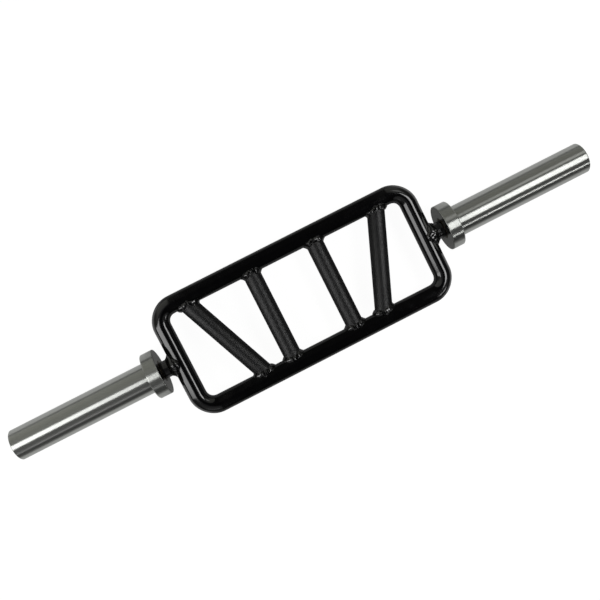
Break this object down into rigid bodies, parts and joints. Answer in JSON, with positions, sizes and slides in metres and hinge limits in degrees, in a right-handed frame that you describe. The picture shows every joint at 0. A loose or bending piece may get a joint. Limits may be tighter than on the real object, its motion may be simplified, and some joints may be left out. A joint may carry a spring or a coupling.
{
  "type": "swiss bar",
  "caption": "Short multi-grip barbell: a flat loop of bent tube crossed by straight and slanted handles, with a collared plate sleeve that turns freely at each end.",
  "frame": {"origin": "middle of the bar, on the common axis of both sleeves, in the plane of the loop", "axes": "+X along the sleeves to the right as in the picture, +Y across the loop towards the rail where the slanted handles stand wider apart, +Z square to the plane of the loop, towards the camera"},
  "size_m": [1, 0.202, 0.0746],
  "materials": {
    "gloss_paint": "gloss black paint on bent steel tube",
    "weld_paint": "gloss black paint over rippled weld beads",
    "grip_paint": "satin black paint over fine knurling",
    "journal_paint": "gloss black paint on the stub, bare turned steel inside the sleeve",
    "sleeve_steel": "bright drawn and polished",
    "collar_steel": "bright turned",
    "cap_steel": "bright turned",
    "washer_steel": "ground",
    "ring_steel": "oiled black spring steel",
    "bushing_bronze": "sintered bronze"
  },
  "bodies": {
    "frame": {"left_frame_tube": "gloss_paint", "left_inner_grip": "grip_paint", "left_outer_grip": "grip_paint", "left_inner_grip_upper_weld": "weld_paint", "left_inner_grip_lower_weld": "weld_paint", "left_outer_grip_upper_weld": "weld_paint", "left_outer_grip_lower_weld": "weld_paint", "left_journal": "journal_paint", "left_journal_weld": "weld_paint", "left_thrust_washer": "washer_steel", "left_journal_ring": "ring_steel", "right_frame_tube": "gloss_paint", "right_inner_grip": "grip_paint", "right_outer_grip": "grip_paint", "right_inner_grip_upper_weld": "weld_paint", "right_inner_grip_lower_weld": "weld_paint", "right_outer_grip_upper_weld": "weld_paint", "right_outer_grip_lower_weld": "weld_paint", "right_journal": "journal_paint", "right_journal_weld": "weld_paint", "right_thrust_washer": "washer_steel", "right_journal_ring": "ring_steel"},
    "left_sleeve_assembly": {"left_sleeve": "sleeve_steel", "left_collar": "collar_steel", "left_inner_bushing": "bushing_bronze", "left_outer_bushing": "bushing_bronze", "left_end_cap": "cap_steel", "left_end_cap_ring": "ring_steel"},
    "right_sleeve_assembly": {"right_sleeve": "sleeve_steel", "right_collar": "collar_steel", "right_inner_bushing": "bushing_bronze", "right_outer_bushing": "bushing_bronze", "right_end_cap": "cap_steel", "right_end_cap_ring": "ring_steel"}
  },
  "joints": [
    {"name": "left_sleeve_spin", "type": "hinge", "parent": "frame", "child": "left_sleeve_assembly", "pos_m": [-0.37, 0, 0], "axis": [1, 0, 0], "continuous": true},
    {"name": "right_sleeve_spin", "type": "hinge", "parent": "frame", "child": "right_sleeve_assembly", "pos_m": [0.37, 0, 0], "axis": [1, 0, 0], "continuous": true}
  ]
}
